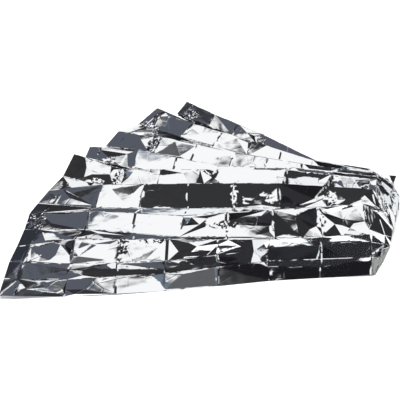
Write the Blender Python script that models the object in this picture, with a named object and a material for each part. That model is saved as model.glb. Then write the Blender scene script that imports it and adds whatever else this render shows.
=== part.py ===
"""Emergency foil blanket, opened out and lying in its own accordion pleats.

One metallised film sheet, cut 1.60 m by 2.10 m. It was packed by pleating it across its
length and then folding the bundle along its width, so it carries two sets of creases:
pleat folds, F0 at the front edge to F17 at the back, and column creases, C1 to C9.
Here it lies as an uneven fan, spread at the left and gathered at the right.

Metres, +Z up. X runs along the pleats, Y from the front edge to the back edge.
The origin is the middle of the bounding box, on the surface that the sheet rests on.
"""

import math

import bmesh
import bpy

# Driving dimensions, in metres
SHEET_WIDTH = 1.60        # along the pleats
SHEET_LENGTH = 2.10       # across the pleats
SHEET_THICKNESS = 0.002   # the film with the air under its crinkles
COLUMN_WIDTH = 0.183      # between column creases
FIRST_COLUMN = 0.055      # the narrow column at the left edge
PLEAT_DEPTH = 0.1215      # between pleat folds
FOLD_HALF_WIDTH = 0.0035  # half of the narrow flat along each inner fold
PANEL_CROWN = 0.006       # how far a panel bulges between its folds
COLUMN_RELIEF = 0.005     # height of the column creases
CENTIMETRE = 0.01

# Where each pleat fold lies, in centimetres: X at the left edge and at column creases C4 and
# C8, then Y and the height at the left edge and at C2, C4, C6 and C8.
FOLD_COLUMNS = ("x_0", "x_4", "x_8",
                "y_0", "y_2", "y_4", "y_6", "y_8",
                "z_0", "z_2", "z_4", "z_6", "z_8")
FOLDS = (
    (-70, -12, 61.5, -71, -71.5, -68, -61.5, -57.5, 0, 0, 0, 0, 0),
    (-70, -12.5, 63.5, -60, -60.5, -58, -49.5, -46, 0, 0, 1, 1, 0.5),
    (-70, -13, 65, -48.5, -50, -48, -39.5, -35, 0, 0, 0, 0, 0.5),
    (-69, -12.5, 64, -37.5, -40, -44, -46, -42, 0, 4.5, 7, 8, 8),
    (-68, -8, 64.5, -25.5, -28, -35.5, -36, -34.5, 0.5, 2, 3, 3, 3),
    (-67.5, -6.5, 61.5, -14, -18.5, -26, -26, -30.5, 1.5, 5, 7, 9.5, 14.5),
    (-66, -5, 68, -3, -8, -14, -17, -22.5, 0, 0.5, 3.5, 5.5, 9),
    (-63, -5, 67.5, 8.5, 3, -4.5, -8.5, -13.5, 0, 5.5, 10, 12, 12),
    (-58.5, -2, 70, 19.5, 9, 2, -3.5, -10.5, 1, 0, 0, 1, 1),
    (-53.5, 0, 70, 23, 14.5, 5, 0.5, -8, 10, 7, 11.5, 13.5, 13.5),
    (-50, 4, 70.5, 31.5, 23, 9.5, 3.5, -6, 4, 3, 0.5, 1.5, 1),
    (-49, 7, 70.5, 42, 33, 18.5, 8, -4, 4.5, 7.5, 6.5, 11, 13),
    (-43, 12.5, 71, 52.5, 40, 27, 11, -1.5, 0, 2, 0.5, 0.5, 1),
    (-38, 15, 71, 64, 50, 35, 13.5, 0.5, 2, 5.5, 5, 10, 12),
    (-29, 21, 71.5, 73, 56, 43, 16.5, 3, 2, 3, 0, 0, 1),
    (-20.5, 23.5, 71.5, 81.5, 65, 47, 18, 6, 6.5, 5.5, 5, 9.5, 10),
    (-11, 26, 71.5, 88, 73, 54, 22, 11, 1, 1, 0, 0, 1.5),
    (-6.5, 28.5, 71.5, 98, 83, 59, 27, 17, 3, 2.5, 3, 5, 6),
    (-6.5, 30, 72, 101.5, 86, 62, 30, 20.5, 2, 1.5, 1.5, 3.5, 4.5),
)

# The gathered right end of each fold, in centimetres: at column crease C9, then at the edge.
END_COLUMNS = ("x_9", "y_9", "z_9", "x_10", "y_10", "z_10")
ENDS = (
    (62.5, -57.5, 0, 63, -57.5, 0),
    (66, -48, 1, 67.5, -48.5, 0.5),
    (69, -39, 2, 71.5, -39, 1),
    (69, -38.5, 5.5, 71.5, -38, 2.5),
    (70, -34.5, 3, 73, -33, 1.5),
    (67, -31, 11, 73, -31, 4),
    (71, -23.5, 7, 75, -26.5, 1),
    (72.5, -18.5, 9, 75.5, -23.5, 5),
    (73.5, -15.5, 2, 76.5, -20.5, 0.5),
    (74.5, -13.5, 10, 77, -18, 6),
    (75.5, -11, 2, 78, -15.5, 0.5),
    (76, -9, 10, 78.5, -13, 6),
    (77, -6.5, 2, 79.5, -10.5, 0.5),
    (77.5, -4.5, 9, 80, -8.5, 6),
    (78, -2, 2, 80.5, -6, 0.5),
    (78, 0.5, 7, 80, -3.5, 5),
    (78, 4.5, 2, 80.5, 0.5, 1),
    (77, 9.5, 6, 80, 6.5, 4),
    (79.5, 14.5, 4, 83.5, 18, 2),
)

FOIL_COLOUR = (0.80, 0.82, 0.84, 1.0)
FOIL_ROUGHNESS = 0.12
LAST_APRON_FOLD = 2  # the panels in front of it lie nearly flat
LAST_FOLD = math.ceil(SHEET_LENGTH / PLEAT_DEPTH)
LAST_COLUMN = 8
PANEL_STEPS = (1 / 3, 2 / 3)  # rows of points across a panel
COLUMN_STEPS = 2              # spaces between points along one column


def clear_scene():
    """Removes every object that the file opened with."""
    for thing in list(bpy.data.objects):
        bpy.data.objects.remove(thing)


def column_edges():
    """Distances of the column creases C0 to C10 from the left edge, C0 and C10 being edges."""
    inner = [FIRST_COLUMN + COLUMN_WIDTH * n for n in range(LAST_COLUMN + 1)]
    return [0.0, *inner, SHEET_WIDTH]


def reading(row, axis, distance):
    """One coordinate of a fold, on straight lines between the creases that the tables give."""
    edges = column_edges()
    marks = [(edges[crease], row[f"{axis}_{crease}"])
             for crease in range(len(edges)) if f"{axis}_{crease}" in row]
    for (left, first), (right, second) in zip(marks, marks[1:]):
        if distance <= right + 1e-9:
            return first + (second - first) * (distance - left) / (right - left)
    raise ValueError("the distance is beyond the right edge")


def fold_point(fold, distance):
    """Where a fold lies at a distance from the left edge, in metres."""
    row = dict(zip(FOLD_COLUMNS + END_COLUMNS, FOLDS[fold] + ENDS[fold]))
    return [reading(row, axis, distance) * CENTIMETRE for axis in "xyz"]


def half_width(fold):
    """Half of the flat along a fold. The front apron's creases and the back edge have none."""
    return FOLD_HALF_WIDTH if LAST_APRON_FOLD < fold < LAST_FOLD else 0.0


def column_lift(distance):
    """Low ridge along every second column crease and a groove along the others."""
    for n, edge in enumerate(column_edges()[1:-1]):
        if abs(distance - edge) < 1e-6:
            return COLUMN_RELIEF if n % 2 else -COLUMN_RELIEF / 2
    return 0.0


def stations_along():
    """Distances from the left edge at which each fold gets a point."""
    edges = column_edges()
    stations = []
    for left, right in zip(edges, edges[1:]):
        steps = COLUMN_STEPS if right - left > 0.1 else 1
        stations += [left + (right - left) * n / steps for n in range(steps)]
    return [*stations, edges[-1]]


def row_across(fold, distance):
    """The points of one fold, one on each side of its flat, and of the panel behind it."""
    here = fold_point(fold, distance)
    flat = half_width(fold)
    column = [(here[0], here[1] + side * flat, here[2]) for side in ((-1, 1) if flat else (0,))]
    if fold == LAST_FOLD:
        return column
    there = fold_point(fold + 1, distance)
    start = column[-1]
    stop = (there[0], there[1] - half_width(fold + 1), there[2])
    crown = PANEL_CROWN if fold % 2 else -PANEL_CROWN
    level = start[2] + stop[2] < 2 * PANEL_CROWN
    gathered = distance > column_edges()[LAST_COLUMN - 1]
    lift = 0.0 if level or gathered else crown + column_lift(distance)
    for part in PANEL_STEPS:
        x, y, z = (a * (1 - part) + b * part for a, b in zip(start, stop))
        column.append((x, y, max(z + lift, 0.0)))
    return column


def sheet_points():
    """Columns of points from the front edge to the back, one for each station."""
    return [[point for fold in range(LAST_FOLD + 1) for point in row_across(fold, distance)]
            for distance in stations_along()]


def sheet_mesh(name):
    """The underside of the sheet, as triangles whose diagonals alternate."""
    mesh = bpy.data.meshes.new(name)
    shape = bmesh.new()
    grid = [[shape.verts.new(point) for point in column] for column in sheet_points()]
    for i in range(len(grid) - 1):
        for j in range(len(grid[0]) - 1):
            a, b = grid[i][j], grid[i + 1][j]
            c, d = grid[i + 1][j + 1], grid[i][j + 1]
            halves = ((a, b, c), (a, c, d)) if (i + j) % 2 else ((a, b, d), (b, c, d))
            for half in halves:
                shape.faces.new(half)
    shape.to_mesh(mesh)
    shape.free()
    return mesh


def foil_material():
    """Bright metallised film."""
    material = bpy.data.materials.new("metallised_film")
    material.use_nodes = True
    shader = material.node_tree.nodes["Principled BSDF"]
    shader.inputs["Base Color"].default_value = FOIL_COLOUR
    shader.inputs["Metallic"].default_value = 1.0
    shader.inputs["Roughness"].default_value = FOIL_ROUGHNESS
    return material


def put_at_origin(blanket):
    """Moves the mesh so that the origin is the middle of its box, at the bottom."""
    bpy.context.view_layer.update()
    solid = blanket.evaluated_get(bpy.context.evaluated_depsgraph_get())
    corners = [[vertex.co[axis] for vertex in solid.data.vertices] for axis in range(3)]
    middle = [(min(values) + max(values)) / 2 for values in corners]
    for vertex in blanket.data.vertices:
        vertex.co.x -= middle[0]
        vertex.co.y -= middle[1]
        vertex.co.z -= min(corners[2])


def make_blanket():
    """The whole blanket: one sheet, thickened upwards from its underside."""
    blanket = bpy.data.objects.new("foil_blanket", sheet_mesh("foil_blanket"))
    bpy.context.scene.collection.objects.link(blanket)
    blanket.data.materials.append(foil_material())
    thicken = blanket.modifiers.new("film_thickness", "SOLIDIFY")
    thicken.thickness = SHEET_THICKNESS
    thicken.offset = 1.0
    thicken.use_even_offset = False
    put_at_origin(blanket)
    return blanket


clear_scene()
make_blanket()
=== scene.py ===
"""Emergency foil blanket, opened out and lying in its own accordion pleats.

One sheet of metallised film on a plain pale floor under soft studio light. The sheet is a
crease pattern of flat facets on the pleat folds of the CAD solid. Each facet's corners are
moved a little, so that it mirrors one part of the studio: a bright panel, a dim one, the
floor or the dark room. Then the sheet gets its fine mesh, with flats along the folds, low
uneven ridges along the column creases, slack in the strips and crumple.
"""

import math
import random

import bpy
import numpy as np
from bpy.props import FloatProperty, FloatVectorProperty, PointerProperty
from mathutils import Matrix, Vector, kdtree, noise
from mathutils.geometry import delaunay_2d_cdt


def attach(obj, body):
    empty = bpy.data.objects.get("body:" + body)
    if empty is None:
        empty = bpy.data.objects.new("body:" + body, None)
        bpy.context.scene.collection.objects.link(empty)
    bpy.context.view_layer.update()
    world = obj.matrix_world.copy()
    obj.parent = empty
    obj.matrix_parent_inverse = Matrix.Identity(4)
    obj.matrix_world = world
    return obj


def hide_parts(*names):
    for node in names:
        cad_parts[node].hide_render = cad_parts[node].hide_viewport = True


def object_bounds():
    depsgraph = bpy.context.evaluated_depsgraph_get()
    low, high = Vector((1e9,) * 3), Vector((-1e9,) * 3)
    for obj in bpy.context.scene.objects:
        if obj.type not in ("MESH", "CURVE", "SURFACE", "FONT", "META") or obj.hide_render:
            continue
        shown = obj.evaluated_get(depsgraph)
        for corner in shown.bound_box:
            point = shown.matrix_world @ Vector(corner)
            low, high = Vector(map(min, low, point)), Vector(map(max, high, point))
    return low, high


bl_info = {
    "name": "Emergency foil blanket",
    "version": (1, 0, 0),
    "blender": (4, 5, 0),
    "location": "3D View > Sidebar > Foil blanket",
    "description": "Makes an opened emergency foil blanket and the studio it lies in",
    "category": "Add Mesh",
}

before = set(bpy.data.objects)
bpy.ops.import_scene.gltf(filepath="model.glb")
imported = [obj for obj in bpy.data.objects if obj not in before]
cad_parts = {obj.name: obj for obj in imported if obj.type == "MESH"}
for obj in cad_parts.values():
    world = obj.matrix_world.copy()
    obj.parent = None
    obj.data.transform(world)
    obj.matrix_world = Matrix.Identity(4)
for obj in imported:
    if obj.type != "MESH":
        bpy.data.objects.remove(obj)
CAD_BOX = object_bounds()
NODE = "foil_blanket"
BODY = "root"
CENTIMETRE = 0.01
MILLIMETRES = 1000   # in a metre

# Where each pleat fold lies, in centimetres: X at the left edge and at column creases C4 and
# C8, then Y and the height at the left edge and at C2, C4, C6 and C8.
FOLD_COLUMNS = ("x_0", "x_4", "x_8",
                "y_0", "y_2", "y_4", "y_6", "y_8",
                "z_0", "z_2", "z_4", "z_6", "z_8")
FOLDS = (
    (-70, -12, 61.5, -71, -71.5, -68, -61.5, -57.5, 0, 0, 0, 0, 0),
    (-70, -12.5, 63.5, -60, -60.5, -58, -49.5, -46, 0, 0, 1, 1, 0.5),
    (-70, -13, 65, -48.5, -50, -48, -39.5, -35, 0, 0, 0, 0, 0.5),
    (-69, -12.5, 64, -37.5, -40, -44, -46, -42, 0, 4.5, 7, 8, 8),
    (-68, -8, 64.5, -25.5, -28, -35.5, -36, -34.5, 0.5, 2, 3, 3, 3),
    (-67.5, -6.5, 61.5, -14, -18.5, -26, -26, -30.5, 1.5, 5, 7, 9.5, 14.5),
    (-66, -5, 68, -3, -8, -14, -17, -22.5, 0, 0.5, 3.5, 5.5, 9),
    (-63, -5, 67.5, 8.5, 3, -4.5, -8.5, -13.5, 0, 5.5, 10, 12, 12),
    (-58.5, -2, 70, 19.5, 9, 2, -3.5, -10.5, 1, 0, 0, 1, 1),
    (-53.5, 0, 70, 23, 14.5, 5, 0.5, -8, 10, 7, 11.5, 13.5, 13.5),
    (-50, 4, 70.5, 31.5, 23, 9.5, 3.5, -6, 4, 3, 0.5, 1.5, 1),
    (-49, 7, 70.5, 42, 33, 18.5, 8, -4, 4.5, 7.5, 6.5, 11, 13),
    (-43, 12.5, 71, 52.5, 40, 27, 11, -1.5, 0, 2, 0.5, 0.5, 1),
    (-38, 15, 71, 64, 50, 35, 13.5, 0.5, 2, 5.5, 5, 10, 12),
    (-29, 21, 71.5, 73, 56, 43, 16.5, 3, 2, 3, 0, 0, 1),
    (-20.5, 23.5, 71.5, 81.5, 65, 47, 18, 6, 6.5, 5.5, 5, 9.5, 10),
    (-11, 26, 71.5, 88, 73, 54, 22, 11, 1, 1, 0, 0, 1.5),
    (-6.5, 28.5, 71.5, 98, 83, 59, 27, 17, 3, 2.5, 3, 5, 6),
    (-6.5, 30, 72, 101.5, 86, 62, 30, 20.5, 2, 1.5, 1.5, 3.5, 4.5),
)

# The gathered right end of each fold, in centimetres: at column crease C9, then at the edge.
END_COLUMNS = ("x_9", "y_9", "z_9", "x_10", "y_10", "z_10")
ENDS = (
    (62.5, -57.5, 0, 63, -57.5, 0),
    (66, -48, 1, 67.5, -48.5, 0.5),
    (69, -39, 2, 71.5, -39, 1),
    (69, -38.5, 5.5, 71.5, -38, 2.5),
    (70, -34.5, 3, 73, -33, 1.5),
    (67, -31, 11, 73, -31, 4),
    (71, -23.5, 7, 75, -26.5, 1),
    (72.5, -18.5, 9, 75.5, -23.5, 5),
    (73.5, -15.5, 2, 76.5, -20.5, 0.5),
    (74.5, -13.5, 10, 77, -18, 6),
    (75.5, -11, 2, 78, -15.5, 0.5),
    (76, -9, 10, 78.5, -13, 6),
    (77, -6.5, 2, 79.5, -10.5, 0.5),
    (77.5, -4.5, 9, 80, -8.5, 6),
    (78, -2, 2, 80.5, -6, 0.5),
    (78, 0.5, 7, 80, -3.5, 5),
    (78, 4.5, 2, 80.5, 0.5, 1),
    (77, 9.5, 6, 80, 6.5, 4),
    (79.5, 14.5, 4, 83.5, 18, 2),
)
LAST_FOLD = len(FOLDS) - 1
LAST_COLUMN = 8

# Colours of the studio's panels, by tone.
TONES = {
    "white": (1.0, 1.0, 1.0),
    "floor": (1.0, 1.0, 1.0),
    "silver": (0.36, 0.36, 0.35),
    "steel": (0.160, 0.205, 0.260),
    "grey": (0.120, 0.122, 0.128),
    "blue": (0.098, 0.107, 0.132),
    "dark": (0.036, 0.036, 0.038),
    "navy": (0.032, 0.035, 0.045),
    "black": (0.012, 0.012, 0.015),
}

# The studio that the film mirrors: round panels, as azimuth from +Y towards +X, elevation
# and radius in degrees. A later panel lies over an earlier one. The one with the tone floor
# stands below the horizon, so a facet that is aimed at it mirrors the pale floor.
STUDIO_COLUMNS = ("tone", "azimuth", "elevation", "radius")
STUDIO = (
    ("white", -95, 50, 19),
    ("white", -122, 44, 14),
    ("white", -152, 24, 20),
    ("white", -156, 54, 13),
    ("white", -80, 22, 15),
    ("white", -60, 60, 9),
    ("white", -22, 63, 12),
    ("white", -10, 56, 7),
    ("white", 20, 79, 10),
    ("white", -174, 66, 7),
    ("white", 80, 42, 22),
    ("white", 116, 24, 15),
    ("white", -6, 4, 7),
    ("blue", -27, 37, 14),
    ("blue", -12, 33, 7),
    ("black", 17, 34, 15),
    ("black", 6, 19, 8),
    ("black", 160, 60, 9),
    ("white", -1, 41, 4.5),
    ("white", -14, 25, 3.5),
    ("dark", -108, 75, 12),
    ("dark", -62, 76, 7),
    ("floor", 178, -14, 9),
    ("dark", 178, 5, 16),
    ("dark", -118, 18, 8),
    ("dark", 8, 51, 5),
    ("dark", -4, 29, 4),
    ("navy", -24, 16, 7),
    ("grey", 0, 49, 3.5),
    ("dark", -41, 51, 4),
    ("grey", -50, 50, 4),
    ("grey", -46, 16, 6),
    ("steel", -54, 34, 6),
    ("steel", -9, 47, 3),
    ("silver", 38, 30, 7),
)
ROOM_COLOUR = (0.030, 0.030, 0.034)
PANEL_SOFTNESS = 3.5  # degrees over which a panel fades at its rim

# Strips between two folds, from the front edge to the back one. A plain letter is a strip
# that rises away from the front, and one with an inverted comma is the strip that falls
# behind it.
STRIPS = "A A' B B' C C' D D' E E' F F' G G' H H' I I'".split()

# What each cell of a strip mirrors, from the left edge to the right. A free cell isn't aimed
# at any tone. Nor is a hidden one, which gives way more easily, as nearly all of them face
# away from the front. All the cells of a strip that isn't listed are hidden.
CELL_TONES = {
    "A": "white dark white white dark black black black silver silver",
    "A'": "navy blue dark black black black black black silver silver",
    "B": "navy dark white white grey dark free free free free",
    "B'": "navy blue black white hidden hidden hidden hidden free free",
    "C": "navy blue white white white white black white free free",
    "C'": "navy blue white white white white white free free free",
    "D": "dark blue white dark dark dark black dark free free",
    "D'": "white white hidden hidden hidden hidden hidden hidden free free",
    "E": "dark silver white white white white dark white free free",
    "F": "blue blue white white white white white white free free",
    "G": "blue blue white white white white free free free free",
    "H": "blue blue white white white white free free free free",
    "H'": "dark dark hidden hidden hidden hidden hidden hidden free free",
    "I": "blue blue blue blue navy blue free free free free",
}

# Facets that the main small creases cut out of the cells: strip, tone, then corners, each as
# the column with the part of its width, and the part of the strip's depth from the front.
# A later facet lies over an earlier one.
FACETS = (
    ("A", "steel", ((1.05, 0.7), (1.1, 0.75), (1.2, 0.45), (1.1, 0.35))),
    ("A", "black", ((1.0, 0.95), (1.35, 0.9), (1.2, 0.45))),
    ("A", "white", ((1.2, 0.4), (1.4, 0.9), (1.5, 0.9), (1.6, 0.5), (1.45, 0.6))),
    ("A", "grey", ((1.6, 0.8), (1.8, 0.95), (1.95, 0.4), (1.85, 0.2), (1.6, 0.5))),
    ("A", "black", ((1.8, 0.95), (2.0, 0.95), (2.0, 0.05), (1.85, 0.2), (1.95, 0.4))),
    ("A", "steel", ((2.0, 1.0), (2.75, 1.0), (2.65, 0.7), (2.4, 0.35), (2.0, 0.4))),
    ("A", "navy", ((2.0, 0.4), (2.4, 0.35), (2.2, 0.1), (2.0, 0.0))),
    ("A", "steel", ((3.7, 0.9), (4.0, 1.0), (4.0, 0.1), (3.9, 0.45), (3.75, 0.8))),
    ("A", "grey", ((4.0, 0.95), (4.35, 0.85), (4.8, 0.05), (4.0, 0.0))),
    ("A", "white", ((4.93, 1.0), (5.0, 1.0), (5.0, 0.0), (4.96, 0.0))),
    ("A'", "white", ((2.0, 0.6), (2.3, 0.2), (2.6, 0.0), (2.0, 0.0))),
    ("A'", "grey", ((2.0, 0.65), (2.0, 1.0), (2.95, 1.0), (2.5, 0.8))),
    ("A'", "black", ((2.0, 0.65), (2.5, 0.8), (2.95, 0.9), (4.0, 1.0), (4.0, 0.3), (2.9, 0.5),
                     (2.3, 0.5))),
    ("A'", "dark", ((2.3, 0.5), (2.9, 0.5), (4.0, 0.3), (4.0, 0.0), (3.0, 0.0), (2.6, 0.0))),
    ("A'", "dark", ((4.0, 0.3), (4.9, 0.8), (5.0, 0.6), (5.0, 0.0), (4.0, 0.0))),
    ("B", "white", ((0.75, 0.1), (0.7, 0.9), (0.8, 0.75), (0.85, 0.0))),
    ("B", "grey", ((1.05, 0.85), (1.25, 0.45), (1.3, 0.3), (1.15, 0.1))),
    ("B", "navy", ((1.25, 0.85), (1.7, 0.85), (1.65, 0.35), (1.55, 0.15), (1.35, 0.4))),
    ("B", "white", ((1.7, 0.85), (1.8, 0.65), (1.95, 0.35), (2.0, 0.0), (1.7, 0.1), (1.55, 0.15),
                    (1.65, 0.35))),
    ("B", "white", ((1.1, 0.05), (1.3, 0.4), (1.35, 0.4), (1.55, 0.15), (1.3, 0.05))),
    ("B", "black", ((1.8, 0.8), (2.0, 1.0), (2.0, 0.55), (2.05, 0.3), (2.0, 0.0), (1.95, 0.35))),
    ("B", "steel", ((2.0, 0.6), (2.15, 0.85), (2.1, 0.6), (2.05, 0.5))),
    ("B", "grey", ((2.15, 1.0), (2.4, 0.8), (2.5, 0.75), (2.8, 0.8), (3.0, 1.0))),
    ("B", "grey", ((2.05, 0.25), (2.15, 0.3), (2.7, 0.15), (2.95, 0.0), (2.0, 0.0))),
    ("B", "dark", ((2.9, 0.15), (3.1, 0.2), (3.4, 0.2), (3.6, 0.1), (3.0, 0.0))),
    ("B", "grey", ((3.85, 0.65), (3.95, 0.9), (4.0, 0.05), (3.95, 0.05))),
    ("B", "black", ((4.0, 1.0), (4.06, 1.0), (4.06, 0.0), (4.0, 0.0))),
    ("B", "black", ((4.1, 1.0), (5.0, 1.0), (5.0, 0.75), (4.65, 0.65), (4.45, 0.8))),
    ("B", "floor", ((4.25, 0.4), (4.6, 0.6), (5.0, 0.7), (4.8, 0.1), (4.4, 0.1), (4.3, 0.2))),
    ("B", "dark", ((5.0, 0.65), (4.95, 0.05), (4.8, 0.05))),
    ("B", "floor", ((5.2, 0.95), (5.6, 1.0), (5.65, 0.05), (5.5, 0.05), (5.4, 0.55))),
    ("B", "hidden", ((5.65, 1.0), (6.0, 1.0), (6.0, 0.0), (5.7, 0.0))),
    ("B'", "white", ((1.15, 0.75), (1.35, 0.75), (1.95, 0.05), (1.7, 0.1))),
    ("B'", "steel", ((1.15, 0.7), (1.7, 0.1), (1.9, 0.0), (1.5, 0.0), (1.3, 0.2))),
    ("B'", "black", ((1.35, 0.85), (1.95, 1.0), (2.35, 0.7), (2.3, 0.1), (1.95, 0.15))),
    ("B'", "white", ((2.1, 1.0), (2.35, 0.7), (2.3, 0.1), (2.6, 0.2), (2.95, 0.6))),
    ("C", "dark", ((1.1, 0.65), (1.45, 0.85), (1.25, 0.35), (1.05, 0.1))),
    ("C", "dark", ((2.2, 1.0), (2.85, 1.0), (2.7, 0.8))),
    ("C", "dark", ((4.0, 0.95), (4.1, 0.7), (4.05, 0.5), (4.0, 0.15))),
    ("C", "black", ((4.15, 0.65), (4.2, 0.9), (4.55, 0.8), (4.55, 0.45), (4.4, 0.55))),
    ("C", "black", ((5.0, 1.0), (5.9, 1.0), (5.25, 0.75), (4.95, 0.65))),
    ("C", "black", ((5.35, 0.65), (5.75, 0.8), (5.98, 0.95), (5.95, 0.45), (5.15, 0.5))),
    ("C", "steel", ((5.9, 0.4), (6.0, 0.1), (5.9, 0.2), (5.65, 0.1), (5.5, 0.0), (6.0, 0.0))),
    ("C", "dark", ((6.15, 0.75), (6.5, 0.75), (6.5, 0.1), (6.15, 0.1))),
    ("C", "steel", ((6.6, 0.0), (6.75, 0.25), (6.9, 0.35), (7.0, 0.3), (7.0, 0.05))),
    ("C", "dark", ((7.05, 0.8), (7.2, 0.9), (7.6, 1.0), (7.85, 0.95), (7.5, 0.85), (7.2, 0.75))),
    ("C", "black", ((7.2, 0.55), (7.5, 0.55), (7.95, 0.45), (7.7, 0.4), (7.45, 0.35), (7.3, 0.4))),
    ("C", "grey", ((7.4, 0.0), (7.45, 0.05), (7.6, 0.25), (7.95, 0.4), (8.0, 0.2), (8.0, 0.0))),
    ("C'", "blue", ((2.0, 0.9), (2.4, 0.5), (2.2, 0.2), (2.0, 0.1))),
    ("D", "white", ((1.0, 0.1), (1.0, 0.45), (1.04, 0.4), (1.05, 0.05))),
    ("D", "white", ((1.06, 0.05), (1.06, 0.65), (1.1, 0.6), (1.11, 0.05))),
    ("D", "grey", ((1.05, 0.95), (1.2, 0.75), (1.6, 0.4), (1.9, 0.1), (1.35, 0.4))),
    ("D", "dark", ((1.05, 1.0), (2.0, 1.0), (2.0, 0.0), (1.9, 0.15), (1.6, 0.4), (1.3, 0.7))),
    ("D", "grey", ((2.25, 0.8), (2.75, 0.55), (2.7, 0.1), (2.5, 0.4))),
    ("D", "grey", ((2.75, 0.55), (2.95, 0.05), (2.7, 0.1))),
    ("D", "dark", ((2.0, 1.0), (3.0, 1.0), (3.0, 0.0), (2.95, 0.05), (2.75, 0.55), (2.25, 0.8))),
    ("D", "white", ((5.08, 0.5), (5.25, 0.4), (5.5, 0.32), (5.6, 0.12), (5.2, 0.15))),
    ("D", "white", ((5.55, 0.55), (5.8, 0.65), (5.95, 0.8), (5.95, 0.3), (5.7, 0.25))),
    ("D", "white", ((6.08, 0.5), (6.2, 0.42), (6.4, 0.15), (6.35, 0.02), (6.2, 0.15),
                    (6.08, 0.2))),
    ("D", "white", ((6.4, 0.1), (6.75, 0.4), (6.95, 0.6), (6.95, 0.45), (6.75, 0.25),
                    (6.4, 0.0))),
    ("D", "steel", ((6.5, 0.0), (6.9, 0.35), (7.0, 0.35), (7.0, 0.0))),
    ("D", "white", ((7.2, 0.1), (7.4, 0.35), (7.8, 0.65), (7.65, 0.3), (7.45, 0.1))),
    ("E", "dark", ((1.0, 1.0), (1.1, 0.95), (1.15, 0.6), (1.3, 0.55), (1.2, 0.2), (1.1, 0.0),
                   (1.0, 0.0))),
    ("E", "white", ((0.7, 0.95), (0.75, 0.95), (0.45, 0.35), (0.4, 0.35))),
    ("E", "white", ((1.1, 0.95), (1.7, 0.95), (1.8, 0.85), (1.75, 0.6), (1.35, 0.4), (1.3, 0.55),
                    (1.15, 0.6))),
    ("E", "dark", ((2.3, 1.0), (4.0, 1.0), (3.6, 0.85), (3.1, 0.75))),
    ("E", "steel", ((2.05, 0.9), (2.3, 0.85), (2.25, 0.6), (2.0, 0.6))),
    ("E", "black", ((4.1, 1.0), (4.4, 1.0), (4.45, 0.9), (4.4, 0.7), (4.3, 0.8))),
    ("E", "grey", ((4.1, 0.9), (4.3, 0.7), (4.15, 0.5))),
    ("E", "dark", ((5.85, 0.7), (5.95, 0.9), (6.0, 1.0), (6.0, 0.45), (5.9, 0.55))),
    ("E", "white", ((6.1, 0.45), (6.5, 0.55), (7.0, 1.0), (6.9, 0.7), (6.7, 0.4), (6.1, 0.35))),
    ("E", "dark", ((6.95, 0.3), (7.0, 1.0), (7.1, 0.95), (7.1, 0.3))),
    ("E", "dark", ((7.35, 0.5), (7.2, 0.95), (7.5, 0.9), (7.7, 0.6), (7.5, 0.3))),
    ("F", "dark", ((2.0, 0.0), (2.0, 0.1), (3.5, 0.08), (5.0, 0.06), (6.0, 0.0))),
    ("F", "dark", ((1.0, 1.0), (1.9, 1.0), (1.9, 0.85), (1.0, 0.8))),
    ("F", "black", ((1.3, 0.35), (1.75, 0.7), (1.85, 0.05), (1.65, 0.0))),
    ("G", "black", ((1.35, 0.95), (1.95, 1.0), (2.0, 0.1), (1.85, 0.1), (1.5, 0.65))),
    ("G", "white", ((1.95, 1.0), (2.03, 1.0), (2.05, 0.1), (1.98, 0.05))),
    ("G", "grey", ((2.05, 1.0), (2.4, 0.9), (2.7, 0.15), (2.1, 0.1))),
    ("G", "dark", ((2.2, 1.0), (5.0, 1.0), (4.0, 0.92), (3.0, 0.93))),
    ("H", "dark", ((2.4, 1.0), (4.5, 1.0), (3.5, 0.9))),
    ("G", "grey", ((4.0, 0.9), (4.05, 0.05), (4.2, 0.1), (4.1, 0.6))),
    ("F", "grey", ((5.0, 0.1), (5.2, 0.7), (5.35, 0.2), (5.2, 0.1))),
    ("H", "white", ((0.6, 0.1), (0.5, 0.8), (0.6, 0.8), (0.75, 0.1))),
    ("H", "dark", ((0.6, 0.55), (0.75, 0.95), (1.15, 0.1), (1.0, 0.0))),
    ("H", "white", ((1.15, 0.1), (1.0, 0.65), (1.05, 0.95), (1.2, 0.85), (1.4, 0.25))),
    ("H", "black", ((1.4, 0.25), (1.25, 0.8), (1.75, 0.0))),
    ("H", "white", ((2.0, 0.1), (2.05, 0.95), (2.1, 0.6))),
    ("H", "grey", ((2.1, 0.2), (2.15, 0.7), (2.45, 0.55), (2.35, 0.2))),
    ("H", "dark", ((3.9, 0.8), (4.0, 1.0), (4.05, 0.0))),
    ("I", "dark", ((0.0, 0.9), (0.8, 1.0), (0.9, 0.1))),
    ("I", "black", ((3.1, 0.95), (4.0, 1.0), (3.8, 0.6), (3.5, 0.6))),
)

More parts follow.
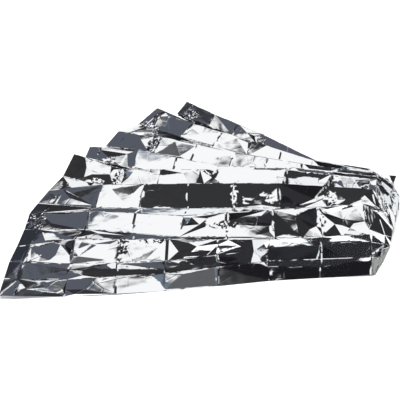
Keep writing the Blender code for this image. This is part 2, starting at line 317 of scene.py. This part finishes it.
# Crumpled places: strip, column with the part of its width, part of the depth, half extents
# along and across the strips in centimetres, and the height of the crumple in millimetres.
CRUMPLE_COLUMNS = ("strip", "column", "across", "half_along", "half_across", "height")
CRUMPLES = (
    ("C", 0.6, 0.5, 4.5, 7.0, 2.5),
    ("E", 1.5, 0.1, 5.5, 3.0, 3.0),
    ("E", 2.0, 0.5, 1.8, 7.0, 3.0),
    ("C", 4.9, 0.5, 6.5, 1.8, 2.0),
    ("D", 5.0, 0.5, 1.6, 8.0, 2.5),
    ("C", 7.05, 0.5, 1.4, 9.0, 2.0),
    ("B", 3.1, 0.7, 2.0, 4.5, 2.0),
    ("B", 3.7, 0.95, 6.0, 2.0, 2.5),
    ("F", 1.3, 0.1, 3.0, 4.0, 3.0),
    ("G", 1.85, 0.5, 2.0, 5.5, 3.0),
    ("H", 1.0, 0.0, 6.5, 3.0, 3.0),
    ("I", 1.2, 0.3, 6.0, 4.5, 3.0),
    ("I", 4.1, 0.4, 3.0, 5.0, 3.0),
    ("D", 7.1, 0.5, 1.6, 7.0, 2.0),
    ("D", 5.75, 0.45, 3.5, 3.5, 1.5),
    ("E", 5.0, 0.6, 2.5, 4.0, 3.0),
    ("F", 7.0, 0.6, 14.0, 5.0, 2.5),
    ("D", 5.25, 0.3, 3.5, 1.5, 1.0),
    ("E", 8.0, 0.5, 8.0, 5.0, 3.0),
    ("F", 9.4, 0.5, 4.0, 36.0, 2.5),
    ("D", 9.0, 0.5, 3.0, 10.0, 3.0),
    ("I", 6.5, 0.5, 12.0, 4.0, 2.5),
)

# Aiming of the facets.
AIM_MARGIN = 4.0     # degrees inside a panel's rim that a facet is aimed at
LEAST_AIM = 1.0      # degrees that are left of a small panel's radius for the aim
FREE_HOLD = 0.15     # how strongly a free facet keeps its own slope
HIDDEN_HOLD = 0.03   # how strongly a hidden one does
LEAST_COUNT = 0.25   # how much the smallest aimed facet counts
LARGE_FACET = 0.003  # square metres in view that add a whole count
SHIFT_COST = 0.5     # how much a corner resists being moved
AIM_ROUNDS = 30      # times that the aims are worked out anew
FIT_SWEEPS = 10      # passes over the corners in a round

# Fine mesh. Its points stand in rows of even triangles, each a little out of place.
ROW_PITCH = 0.866    # distance of the rows, as a part of the step
ROW_START = 0.3      # first point of a row, as a part of the step
STAGGER = 0.5        # how far every other row is pushed along, as a part of the step
UNEVEN = 0.15        # how far a point may be out of place, as a part of the step
CLEAR_OF_LINES = 0.55  # nearest that it comes to a crease line, as a part of the step
MESH_SEED = 5

# Relief. Pitches are in metres, and a seed picks one pattern of waves.
FOLD_SLOPE = 0.3         # slope of the sides of a fold's flat
FOLD_SLOPE_WAVES = 0.6   # how much that slope changes along the fold
FOLD_PITCH = 0.05
COLUMN_SWELL = 2.5       # how far a column ridge rises and sinks, in heights of the ridge
COLUMN_PITCH = 0.06
COLUMN_APART = 9.0       # metres between two columns in the pattern of waves
COLUMN_SEED = 3.5
SLACK_COLUMNS = ("part", "pitch", "seed")
SLACK_WAVES = (
    (1.0, 0.09, 0.5),
    (0.4, 0.03, 1.5),
)
CRUMPLE_UNEVEN = 0.35    # how far a crumple's point may be out of place, as a part of the step
CRUMPLE_FADE = 3         # a crumple fades over the last third of its extent
CRUMPLE_MARGIN = 1.1     # how far around a crumple the sheet is looked at

# Finest creases, in the bump.
CRINKLE_WIDTH = 0.06     # width of a crease, as a part of a crinkle cell
CRINKLE_PATCHES = 7.0    # patches of stronger and weaker crinkle in a metre
CRINKLE_DEPTH = 0.002    # metres

SHARP_ANGLE = 9          # degrees between two faces from which their edge is a crease
FLOOR_GAP = 0.001        # metres between the floor and the lowest film
FLOOR_HALF = 60.0        # metres from the middle of the floor to its edge
LAMP_ANGLE = 60          # degrees over which the light from above is spread
SENSOR_WIDTH = 36.0      # millimetres

# Tolerances: metres within which points of a mesh are one, and what rounding may add.
PATTERN_MERGE = 1e-4
MESH_MERGE = 2e-5
CRUMPLE_MERGE = 1e-5
EDGE_SLIP = 1e-4
SLIP = 1e-6
TINY = 1e-12


class BlanketSizes(bpy.types.PropertyGroup):
    """Sizes of the sheet and of its creases."""

    sheet_width: FloatProperty(name="Sheet width", description="Cut size along the pleats",
                               default=1.60, unit="LENGTH")
    sheet_length: FloatProperty(name="Sheet length", description="Cut size across the pleats",
                                default=2.10, unit="LENGTH")
    first_column: FloatProperty(name="First column", description="Left edge to crease C1",
                                default=0.055, unit="LENGTH")
    column_width: FloatProperty(name="Column width", description="Between column creases",
                                default=0.183, unit="LENGTH")
    pleat_depth: FloatProperty(name="Pleat depth", description="Between pleat folds",
                               default=0.1215, unit="LENGTH")
    fold_flat: FloatProperty(name="Fold flat", description="Half width of the flat on a fold",
                             default=0.0030, unit="LENGTH")
    crease_width: FloatProperty(name="Crease width",
                                description="Half width of a column crease's ridge",
                                default=0.0050, unit="LENGTH")
    crease_height: FloatProperty(name="Crease height",
                                 description="Height of a column crease's ridge",
                                 default=0.0012, unit="LENGTH")
    slack: FloatProperty(name="Slack", description="Height of the waves in a strip",
                         default=0.0006, unit="LENGTH")
    crumple_step: FloatProperty(name="Crumple step", description="Size of a crumple's facets",
                                default=0.009, unit="LENGTH")
    mesh_step: FloatProperty(name="Mesh step", description="Point spacing on strips in view",
                             default=0.0070, unit="LENGTH")
    hidden_step: FloatProperty(name="Hidden mesh step",
                               description="Point spacing on strips that face away",
                               default=0.0140, unit="LENGTH")
    furthest_shift: FloatProperty(name="Furthest shift",
                                  description="How far a facet's corner may be moved to aim it",
                                  default=0.025, unit="LENGTH")


class FoilLook(bpy.types.PropertyGroup):
    """Finish of the metallised film."""

    colour: FloatVectorProperty(name="Colour", description="Reflected colour of the film",
                                subtype="COLOR", size=3, default=(0.93, 0.94, 0.955),
                                min=0.0, max=1.0)
    roughness: FloatProperty(name="Roughness", description="Blur of the mirror image",
                             default=0.05, min=0.0, max=1.0)
    crinkle_cells: FloatProperty(name="Crinkle cells",
                                 description="Fine crease cells in a metre", default=14.0)
    crinkle_strength: FloatProperty(name="Crinkle strength",
                                    description="Strength of the finest creases",
                                    default=0.05, min=0.0, max=1.0)


class StudioLook(bpy.types.PropertyGroup):
    """Floor, light and camera."""

    floor_colour: FloatVectorProperty(name="Floor colour", description="Plain pale floor",
                                      subtype="COLOR", size=3, default=(0.95, 0.95, 0.95),
                                      min=0.0, max=1.0)
    floor_light: FloatProperty(name="Floor light", description="Strength of the light from above",
                               default=3.6, min=0.0)
    camera_distance: FloatProperty(name="Camera distance", description="From the point looked at",
                                   default=4.10, unit="LENGTH")
    camera_elevation: FloatProperty(name="Camera elevation", description="Above the floor",
                                    default=math.radians(28), subtype="ANGLE")
    lens: FloatProperty(name="Lens", description="Focal length on a 36 mm sensor",
                        default=90.0, unit="CAMERA")


def column_edges(sizes):
    """Distances of the column creases C0 to C10 from the left edge, C0 and C10 being edges."""
    inner = [sizes.first_column + sizes.column_width * n for n in range(LAST_COLUMN + 1)]
    return [0.0, *inner, sizes.sheet_width]


def reading(row, axis, distance, edges):
    """One coordinate of a fold, on straight lines between the creases that the tables give."""
    marks = [(edges[crease], row[f"{axis}_{crease}"])
             for crease in range(len(edges)) if f"{axis}_{crease}" in row]
    for (left, first), (right, second) in zip(marks, marks[1:]):
        if distance <= right + SLIP:
            return first + (second - first) * (distance - left) / (right - left)
    raise ValueError("the distance is beyond the right edge")


def fold_row(fold):
    """Everything that the two tables give of a fold, under the names of their columns."""
    return dict(zip(FOLD_COLUMNS + END_COLUMNS, FOLDS[fold] + ENDS[fold]))


def fold_point(sizes, fold, distance):
    """Where a fold lies at a distance from the left edge, in the tables' own frame."""
    row = fold_row(fold)
    edges = column_edges(sizes)
    return np.array([reading(row, axis, distance, edges) for axis in "xyz"]) * CENTIMETRE


def table_middle():
    """Middle of the tables' extents in X and Y, which is the frame's origin."""
    sums = []
    for axis in "xy":
        values = [value for fold in range(LAST_FOLD + 1)
                  for name, value in fold_row(fold).items() if name.startswith(axis)]
        sums.append(min(values) + max(values))
    return np.array([*sums, 0.0]) / 2 * CENTIMETRE


def camera_place(studio):
    """Camera and the floor point that it looks at, in the tables' own frame."""
    tilt = studio.camera_elevation
    back = np.array([0.0, -math.cos(tilt), math.sin(tilt)])
    return back * studio.camera_distance, np.zeros(3)


def direction(azimuth, elevation):
    """Unit vector of a direction given in degrees."""
    turn, rise = math.radians(azimuth), math.radians(elevation)
    return np.array([math.sin(turn) * math.cos(rise), math.cos(turn) * math.cos(rise),
                     math.sin(rise)])


def unit(vectors):
    """Vectors scaled to length 1 along the last axis."""
    return vectors / np.maximum(np.linalg.norm(vectors, axis=-1, keepdims=True), TINY)


class CreasePattern:
    """The sheet laid out flat, cut into triangles by its folds, columns and facets."""

    def __init__(self, sizes):
        self.sizes = sizes
        self.edges = column_edges(sizes)
        self.depth = sizes.pleat_depth
        points, links = self.grid()
        self.flat, self.triangles, self.tones = self.cut(points, links)
        self.places = np.array([self.base(*point) for point in self.flat])

    def grid(self):
        """Points where folds and columns cross, and the lines between them."""
        points, links = [], []
        columns, folds = len(self.edges), LAST_FOLD + 1
        for fold in range(folds):
            for column in range(columns):
                number = fold * columns + column
                points.append((self.edges[column], fold * self.depth))
                if column:
                    links.append((number - 1, number))
                if fold:
                    links.append((number - columns, number))
        return points, links

    def spot(self, strip, column, across):
        """Place in the flat sheet of a point given in columns and in parts of a strip."""
        whole = min(int(column), len(self.edges) - 2)
        left, right = self.edges[whole], self.edges[whole + 1]
        return left + (right - left) * (column - whole), (STRIPS.index(strip) + across) * self.depth

    def cut(self, points, links):
        """Triangulates the pattern and gives each triangle its tone."""
        facets = []
        for strip, tone, corners in FACETS:
            outline = [self.spot(strip, *corner) for corner in corners]
            first = len(points)
            points += outline
            links += [(first + n, first + (n + 1) % len(outline)) for n in range(len(outline))]
            facets.append((tone, outline))
        result = delaunay_2d_cdt([Vector(p) for p in points], links, [], 0, PATTERN_MERGE, False)
        flat = np.array([tuple(v) for v in result[0]])
        triangles = np.array(result[2])
        tones = [self.tone_at(flat[triangle].mean(axis=0), facets) for triangle in triangles]
        return flat, triangles, tones

    def tone_at(self, spot, facets):
        """Tone of the facet that holds a spot of the flat sheet, or of its cell."""
        for tone, outline in reversed(facets):
            if inside(spot, outline):
                return tone
        strip = STRIPS[min(int(spot[1] / self.depth), LAST_FOLD - 1)]
        column = sum(edge < spot[0] for edge in self.edges[1:-1])
        return CELL_TONES[strip].split()[column] if strip in CELL_TONES else "hidden"

    def base(self, along, across):
        """Where a point of the flat sheet lies before any facet is aimed."""
        strip = min(int(across / self.depth + SLIP), LAST_FOLD - 1)
        part = across / self.depth - strip
        here = fold_point(self.sizes, strip, along)
        there = fold_point(self.sizes, strip + 1, along)
        return here * (1 - part) + there * part


def inside(spot, outline):
    """Whether a spot lies inside a closed outline."""
    hit = False
    for (x0, y0), (x1, y1) in zip(outline, outline[1:] + outline[:1]):
        if (y0 > spot[1]) != (y1 > spot[1]):
            if spot[0] < x0 + (spot[1] - y0) / (y1 - y0) * (x1 - x0):
                hit = not hit
    return hit


def wanted_mirror(tone, seen):
    """Direction nearest to seen, a unit vector, in which a panel of that tone stands."""
    best = None
    for row in STUDIO:
        panel = dict(zip(STUDIO_COLUMNS, row))
        if panel["tone"] != tone:
            continue
        centre = direction(panel["azimuth"], panel["elevation"])
        apart = math.degrees(math.acos(max(-1.0, min(1.0, float(centre @ seen)))))
        excess = max(0.0, apart - max(panel["radius"] - AIM_MARGIN, LEAST_AIM))
        if best is None or excess < best[0]:
            part = excess / apart if apart > SLIP else 0.0
            best = (excess, unit(seen * (1 - part) + centre * part))
    return best[1]


def bounded_fit(square, pull, low, high, shift):
    """Least-squares shifts between their bounds, found one corner at a time."""
    for _ in range(FIT_SWEEPS):
        for n, row in enumerate(square):
            best = shift[n] + (pull[n] - (row * shift).sum()) / row[n]
            shift[n] = min(max(best, low[n]), high[n])
    return shift


def aimed_normals(pattern, places, eye):
    """Normal that each facet should have: its own, unless it is to mirror a tone."""
    corners = places[pattern.triangles]
    normals = unit(np.cross(corners[:, 1] - corners[:, 0], corners[:, 2] - corners[:, 0]))
    sights = unit(corners.mean(axis=1) - eye)
    for n, tone in enumerate(pattern.tones):
        if tone not in ("hidden", "free"):
            sight = sights[n]
            normal = normals[n] if normals[n] @ sight < 0 else -normals[n]
            seen = sight - 2 * (sight @ normal) * normal
            normals[n] = unit(wanted_mirror(tone, seen) - sight)
    return normals


def aim_facets(pattern, studio, furthest):
    """Moves corners along the front view's line of sight, so that facets mirror their tones.

    A corner stays between the floor and the height of the CAD solid's top.
    """
    eye, _ = camera_place(studio)
    start = pattern.places
    rays = unit(start - eye)
    count = len(start)
    low = np.maximum(-furthest, (start[:, 2] - CAD_BOX[1][2]) / -rays[:, 2])
    high = np.minimum(furthest, start[:, 2] / -rays[:, 2])
    weights = facet_weights(pattern, start, eye)
    shift = np.zeros(count)
    for _ in range(AIM_ROUNDS):
        normals = aimed_normals(pattern, start + rays * shift[:, None], eye)
        square = np.eye(count) * SHIFT_COST ** 2
        pull = np.zeros(count)
        for a, b in ((0, 1), (1, 2), (2, 0)):
            i, j = pattern.triangles[:, a], pattern.triangles[:, b]
            gap = start[i] - start[j]
            scale = weights / np.linalg.norm(gap, axis=1)
            here = scale * (rays[i] * normals).sum(axis=1)
            there = -scale * (rays[j] * normals).sum(axis=1)
            wanted = -scale * (gap * normals).sum(axis=1)
            np.add.at(square, (i, i), here * here)
            np.add.at(square, (j, j), there * there)
            np.add.at(square, (i, j), here * there)
            np.add.at(square, (j, i), here * there)
            np.add.at(pull, i, here * wanted)
            np.add.at(pull, j, there * wanted)
        shift = bounded_fit(square, pull, low, high, shift)
    return start + rays * shift[:, None]


def facet_weights(pattern, places, eye):
    """How much each facet counts in the aiming: more for one that fills more of the view."""
    held = {"hidden": HIDDEN_HOLD, "free": FREE_HOLD}
    weights = []
    for triangle, tone in zip(pattern.triangles, pattern.tones):
        a, b, c = places[triangle]
        seen = abs(np.cross(b - a, c - a) @ unit((a + b + c) / 3 - eye)) / 2
        weights.append(held.get(tone, min(1.0, LEAST_COUNT + seen / LARGE_FACET)))
    return np.array(weights)


def line_samples(start, stop, step):
    """Evenly spaced points from start to stop."""
    count = max(1, round(math.dist(start, stop) / step))
    return [tuple(a + (b - a) * n / count for a, b in zip(start, stop)) for n in range(count + 1)]


def fine_points(pattern, sizes):
    """Points and fixed lines of the fine mesh, in the flat sheet."""
    width, length = sizes.sheet_width, LAST_FOLD * sizes.pleat_depth
    points, links = [], []

    def add_line(start, stop, step):
        samples = line_samples(start, stop, step)
        first = len(points)
        points.extend(samples)
        links.extend((first + n, first + n + 1) for n in range(len(samples) - 1))

    done = set()
    for triangle in pattern.triangles:
        for a, b in ((0, 1), (1, 2), (2, 0)):
            pair = tuple(sorted((triangle[a], triangle[b])))
            if pair not in done:
                done.add(pair)
                add_line(tuple(pattern.flat[pair[0]]), tuple(pattern.flat[pair[1]]),
                         sizes.mesh_step)
    for fold in range(1, LAST_FOLD):
        for side in (-1, 1):
            across = fold * sizes.pleat_depth + side * sizes.fold_flat
            add_line((0.0, across), (width, across), sizes.mesh_step)
    for edge in column_edges(sizes)[1:-1]:
        for side in (-1, 1):
            along = edge + side * sizes.crease_width
            add_line((along, 0.0), (along, length), sizes.mesh_step)
    lines = kdtree.KDTree(len(points))
    for number, point in enumerate(points):
        lines.insert((*point, 0.0), number)
    lines.balance()
    dice = random.Random(MESH_SEED)
    for strip in range(LAST_FOLD):
        step = sizes.mesh_step if STRIPS[strip] in CELL_TONES else sizes.hidden_step
        rows = round(sizes.pleat_depth / (step * ROW_PITCH))
        for row in range(rows):
            across = (strip + (row + 0.5) / rows) * sizes.pleat_depth
            for n in range(int(width / step)):
                along = (n + STAGGER * (row % 2) + ROW_START) * step
                spot = (along + dice.uniform(-UNEVEN, UNEVEN) * step,
                        across + dice.uniform(-UNEVEN, UNEVEN) * step)
                _, _, off = lines.find((*spot, 0.0))
                if 0 < spot[0] < width and off > CLEAR_OF_LINES * step:
                    points.append(spot)
    return points, links


def located(pattern, places, spots):
    """Position and unit normal of each spot on the aimed facets."""
    count = len(spots)
    found = np.zeros((count, 3))
    normals = np.zeros((count, 3))
    corner_normals = np.zeros((len(places), 3))
    for a, b, c in pattern.triangles:
        normal = np.cross(places[b] - places[a], places[c] - places[a])
        for corner in (a, b, c):
            corner_normals[corner] += normal
    corner_normals = unit(corner_normals)
    left = np.ones(count, bool)
    for triangle in pattern.triangles:
        weights = parts(pattern.flat[triangle], spots)
        hit = left & (weights > -EDGE_SLIP).all(axis=1)
        found[hit] = weights[hit] @ places[triangle]
        normals[hit] = weights[hit] @ corner_normals[triangle]
        left[hit] = False
    return found, unit(normals)


def wave(u, v, pitch, seed):
    """Slow uneven wave between -1 and 1 over the flat sheet, with a pitch in metres."""
    return noise.noise(Vector((u / pitch, v / pitch, seed)))


def crumple(pattern, row, spots):
    """Heights of one crumpled place: small flat facets between scattered points."""
    place = dict(zip(CRUMPLE_COLUMNS, row))
    middle = pattern.spot(place["strip"], place["column"], place["across"])
    reach = [place[side] * CENTIMETRE for side in ("half_along", "half_across")]
    stretch = math.sqrt(reach[0] / reach[1])
    steps = [pattern.sizes.crumple_step * stretch, pattern.sizes.crumple_step / stretch]
    rows, lines = (int(length / step) + 2 for length, step in zip(reach, steps))
    dice = random.Random(f"{place['strip']}{place['column']}")
    points, heights = [], []
    for i in range(-rows, rows + 1):
        for j in range(-lines, lines + 1):
            shift = [(n + dice.uniform(-CRUMPLE_UNEVEN, CRUMPLE_UNEVEN)) * step
                     for n, step in zip((i + STAGGER * (j % 2), j), steps)]
            off = math.hypot(*(a / b for a, b in zip(shift, reach)))
            points.append(Vector([a + b for a, b in zip(middle, shift)]))
            fade = max(0.0, min(1.0, CRUMPLE_FADE - CRUMPLE_FADE * off))
            heights.append(dice.uniform(-1, 1) * fade)
    cut = delaunay_2d_cdt(points, [], [], 0, CRUMPLE_MERGE, True)
    lift = np.zeros(len(spots))
    near = np.all(np.abs(spots - middle) < np.array(reach) * CRUMPLE_MARGIN, axis=1)
    where = np.nonzero(near)[0]
    for triangle in cut[2]:
        corners = np.array([tuple(cut[0][n]) for n in triangle])
        values = np.array([heights[cut[3][n][0]] for n in triangle])
        weights = parts(corners, spots[where])
        hit = (weights > -SLIP).all(axis=1)
        lift[where[hit]] = weights[hit] @ values
    return lift * place["height"] / MILLIMETRES


def parts(corners, spots):
    """Weight of each corner of a triangle at each spot."""
    (ax, ay), (bx, by), (cx, cy) = corners
    area = (bx - ax) * (cy - ay) - (cx - ax) * (by - ay)
    u, v = spots[:, 0], spots[:, 1]
    wb = ((u - ax) * (cy - ay) - (cx - ax) * (v - ay)) / area
    wc = ((bx - ax) * (v - ay) - (u - ax) * (by - ay)) / area
    return np.stack([1 - wb - wc, wb, wc], axis=1)


def relief(pattern, sizes, spots):
    """Height of each spot over its facet: fold flats, column ridges, slack and crumple."""
    lift = np.zeros(len(spots))
    edges = column_edges(sizes)
    for fold in range(1, LAST_FOLD):
        near = np.nonzero(np.abs(spots[:, 1] - fold * sizes.pleat_depth) < sizes.fold_flat)[0]
        for n in near:
            apart = abs(spots[n, 1] - fold * sizes.pleat_depth)
            rise = FOLD_SLOPE + FOLD_SLOPE_WAVES * wave(*spots[n], FOLD_PITCH, fold)
            lift[n] -= (1 if fold % 2 else -1) * rise * (sizes.fold_flat - apart)
    for number, edge in enumerate(edges[1:-1]):
        near = np.nonzero(np.abs(spots[:, 0] - edge) < sizes.crease_width)[0]
        for n in near:
            apart = abs(spots[n, 0] - edge) / sizes.crease_width
            along = number * COLUMN_APART
            height = COLUMN_SWELL * wave(along, spots[n, 1], COLUMN_PITCH, COLUMN_SEED)
            lift[n] += sizes.crease_height * height * (1 - apart)
    waves = [dict(zip(SLACK_COLUMNS, row)) for row in SLACK_WAVES]
    for n, spot in enumerate(spots):
        height = sum(row["part"] * wave(*spot, row["pitch"], row["seed"]) for row in waves)
        lift[n] += sizes.slack * height
    for row in CRUMPLES:
        lift += crumple(pattern, row, spots)
    return lift


def make_sheet_mesh(sizes, studio):
    """Mesh of the sheet: the aimed facets with their fine points and relief."""
    pattern = CreasePattern(sizes)
    places = aim_facets(pattern, studio, sizes.furthest_shift)
    points, links = fine_points(pattern, sizes)
    cut = delaunay_2d_cdt([Vector(p) for p in points], links, [], 0, MESH_MERGE, False)
    spots = np.array([tuple(v) for v in cut[0]])
    found, normals = located(pattern, places, spots)
    found += normals * relief(pattern, sizes, spots)[:, None]
    found[:, 2] = np.maximum(found[:, 2], 0.0) + FLOOR_GAP
    found -= table_middle()
    mesh = bpy.data.meshes.new("foil_sheet")
    mesh.from_pydata([tuple(p) for p in found], [], [tuple(f) for f in cut[2]])
    mesh.polygons.foreach_set("use_smooth", [True] * len(mesh.polygons))
    mesh.set_sharp_from_angle(angle=math.radians(SHARP_ANGLE))
    mesh.validate()
    return mesh


def make_crinkle_group(look):
    """Node group that puts out a normal with a thin network of fine creases."""
    group = bpy.data.node_groups.new("film_crinkle", "ShaderNodeTree")
    for name, value in (("Cells", look.crinkle_cells), ("Strength", look.crinkle_strength)):
        socket = group.interface.new_socket(name, in_out="INPUT", socket_type="NodeSocketFloat")
        socket.default_value = value
    group.interface.new_socket("Normal", in_out="OUTPUT", socket_type="NodeSocketVector")
    nodes, links = group.nodes, group.links
    given = nodes.new("NodeGroupInput")
    result = nodes.new("NodeGroupOutput")
    place = nodes.new("ShaderNodeTexCoord")
    cells = nodes.new("ShaderNodeTexVoronoi")
    cells.feature = "DISTANCE_TO_EDGE"
    crease = nodes.new("ShaderNodeMapRange")
    crease.interpolation_type = "SMOOTHSTEP"
    crease.inputs["From Max"].default_value = CRINKLE_WIDTH
    fade = nodes.new("ShaderNodeTexNoise")
    fade.inputs["Scale"].default_value = CRINKLE_PATCHES
    height = nodes.new("ShaderNodeMath")
    height.operation = "MULTIPLY"
    bump = nodes.new("ShaderNodeBump")
    bump.inputs["Distance"].default_value = CRINKLE_DEPTH
    links.new(place.outputs["Object"], fade.inputs["Vector"])
    links.new(place.outputs["Object"], cells.inputs["Vector"])
    links.new(given.outputs["Cells"], cells.inputs["Scale"])
    links.new(cells.outputs["Distance"], crease.inputs["Value"])
    links.new(crease.outputs["Result"], height.inputs[0])
    links.new(fade.outputs["Fac"], height.inputs[1])
    links.new(height.outputs["Value"], bump.inputs["Height"])
    links.new(given.outputs["Strength"], bump.inputs["Strength"])
    links.new(bump.outputs["Normal"], result.inputs["Normal"])
    return group


def make_foil_material(look):
    """Bright metallised film."""
    material = bpy.data.materials.new("metallised_film")
    material.use_nodes = True
    nodes, links = material.node_tree.nodes, material.node_tree.links
    shader = nodes["Principled BSDF"]
    shader.inputs["Base Color"].default_value = (*look.colour, 1.0)
    shader.inputs["Metallic"].default_value = 1.0
    shader.inputs["Roughness"].default_value = look.roughness
    crinkle = nodes.new("ShaderNodeGroup")
    crinkle.node_tree = make_crinkle_group(look)
    links.new(crinkle.outputs["Normal"], shader.inputs["Normal"])
    return material


class FOIL_OT_sheet(bpy.types.Operator):
    """Makes the pleated sheet of metallised film"""

    bl_idname = "foil_blanket.sheet"
    bl_label = "Foil sheet"

    def execute(self, context):
        sizes = context.scene.blanket_sizes
        mesh = make_sheet_mesh(sizes, context.scene.studio_look)
        sheet = bpy.data.objects.new("foil_sheet", mesh)
        context.scene.collection.objects.link(sheet)
        mesh.materials.append(make_foil_material(context.scene.foil_look))
        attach(sheet, BODY)
        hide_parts(NODE)
        return {"FINISHED"}


def make_world():
    """The studio that the film mirrors, a dark room with round panels, and a white backdrop."""
    world = bpy.data.worlds.new("studio")
    bpy.context.scene.world = world
    world.use_nodes = True
    nodes, links = world.node_tree.nodes, world.node_tree.links
    background = nodes["Background"]
    coordinates = nodes.new("ShaderNodeTexCoord")
    colour = nodes.new("ShaderNodeRGB")
    colour.outputs[0].default_value = (*ROOM_COLOUR, 1.0)
    last = colour.outputs[0]
    half = PANEL_SOFTNESS / 2
    for row in STUDIO:
        panel = dict(zip(STUDIO_COLUMNS, row))
        facing = nodes.new("ShaderNodeVectorMath")
        facing.operation = "DOT_PRODUCT"
        facing.inputs[1].default_value = direction(panel["azimuth"], panel["elevation"])
        links.new(coordinates.outputs["Generated"], facing.inputs[0])
        rim = nodes.new("ShaderNodeMapRange")
        rim.interpolation_type = "SMOOTHSTEP"
        rim.inputs["From Min"].default_value = math.cos(math.radians(panel["radius"] + half))
        rim.inputs["From Max"].default_value = math.cos(math.radians(panel["radius"] - half))
        links.new(facing.outputs["Value"], rim.inputs["Value"])
        mix = nodes.new("ShaderNodeMix")
        mix.data_type = "RGBA"
        links.new(rim.outputs["Result"], mix.inputs["Factor"])
        links.new(last, mix.inputs["A"])
        mix.inputs["B"].default_value = (*TONES[panel["tone"]], 1.0)
        last = mix.outputs["Result"]
    seen = nodes.new("ShaderNodeLightPath")
    backdrop = nodes.new("ShaderNodeMix")
    backdrop.data_type = "RGBA"
    links.new(seen.outputs["Is Camera Ray"], backdrop.inputs["Factor"])
    links.new(last, backdrop.inputs["A"])
    backdrop.inputs["B"].default_value = (1.0, 1.0, 1.0, 1.0)
    links.new(backdrop.outputs["Result"], background.inputs["Color"])


def make_floor(studio):
    """The plain pale floor that the blanket lies on."""
    mesh = bpy.data.meshes.new("studio_floor")
    corners = [(x * FLOOR_HALF, y * FLOOR_HALF, 0)
               for x, y in ((-1, -1), (1, -1), (1, 1), (-1, 1))]
    mesh.from_pydata(corners, [], [(0, 1, 2, 3)])
    floor = bpy.data.objects.new("studio_floor", mesh)
    bpy.context.scene.collection.objects.link(floor)
    material = bpy.data.materials.new("pale_floor")
    material.use_nodes = True
    shader = material.node_tree.nodes["Principled BSDF"]
    shader.inputs["Base Color"].default_value = (*studio.floor_colour, 1.0)
    shader.inputs["Roughness"].default_value = 1.0
    shader.inputs["Specular IOR Level"].default_value = 0.0
    mesh.materials.append(material)


def make_light(studio):
    """Soft light from above for the floor, which the film doesn't mirror."""
    lamp = bpy.data.lights.new("overhead", "SUN")
    lamp.energy = studio.floor_light
    lamp.angle = math.radians(LAMP_ANGLE)
    light = bpy.data.objects.new("overhead", lamp)
    light.visible_glossy = False
    bpy.context.scene.collection.objects.link(light)


def make_camera(studio):
    """The camera of the front view."""
    camera = bpy.data.objects.new("camera", bpy.data.cameras.new("camera"))
    bpy.context.scene.collection.objects.link(camera)
    camera.data.lens = studio.lens
    camera.data.sensor_width = SENSOR_WIDTH
    eye, target = (Vector(point - table_middle()) for point in camera_place(studio))
    camera.location = eye
    camera.rotation_euler = (target - eye).to_track_quat("-Z", "Y").to_euler()
    bpy.context.scene.camera = camera


class FOIL_OT_stage(bpy.types.Operator):
    """Makes the floor, the studio round it, the light and the camera"""

    bl_idname = "foil_blanket.stage"
    bl_label = "Studio"

    def execute(self, context):
        studio = context.scene.studio_look
        make_floor(studio)
        make_world()
        make_light(studio)
        make_camera(studio)
        context.scene.view_settings.view_transform = "Standard"
        return {"FINISHED"}


class FOIL_PT_panel(bpy.types.Panel):
    """Lists the blanket's sizes, finish and studio"""

    bl_idname = "FOIL_PT_panel"
    bl_label = "Foil blanket"
    bl_space_type = "VIEW_3D"
    bl_region_type = "UI"
    bl_category = "Foil blanket"

    def draw(self, context):
        for group in ("blanket_sizes", "foil_look", "studio_look"):
            box = self.layout.box()
            values = getattr(context.scene, group)
            for name in values.__annotations__:
                box.prop(values, name)
        self.layout.operator(FOIL_OT_stage.bl_idname)
        self.layout.operator(FOIL_OT_sheet.bl_idname)


CLASSES = (BlanketSizes, FoilLook, StudioLook, FOIL_OT_stage, FOIL_OT_sheet, FOIL_PT_panel)


def register():
    """Adds the classes and their settings to Blender."""
    for kind in CLASSES:
        bpy.utils.register_class(kind)
    bpy.types.Scene.blanket_sizes = PointerProperty(type=BlanketSizes)
    bpy.types.Scene.foil_look = PointerProperty(type=FoilLook)
    bpy.types.Scene.studio_look = PointerProperty(type=StudioLook)


def unregister():
    """Takes them out again."""
    del bpy.types.Scene.blanket_sizes
    del bpy.types.Scene.foil_look
    del bpy.types.Scene.studio_look
    for kind in reversed(CLASSES):
        bpy.utils.unregister_class(kind)


def main():
    register()
    bpy.ops.foil_blanket.stage()
    bpy.ops.foil_blanket.sheet()


if __name__ == "__main__":
    main()
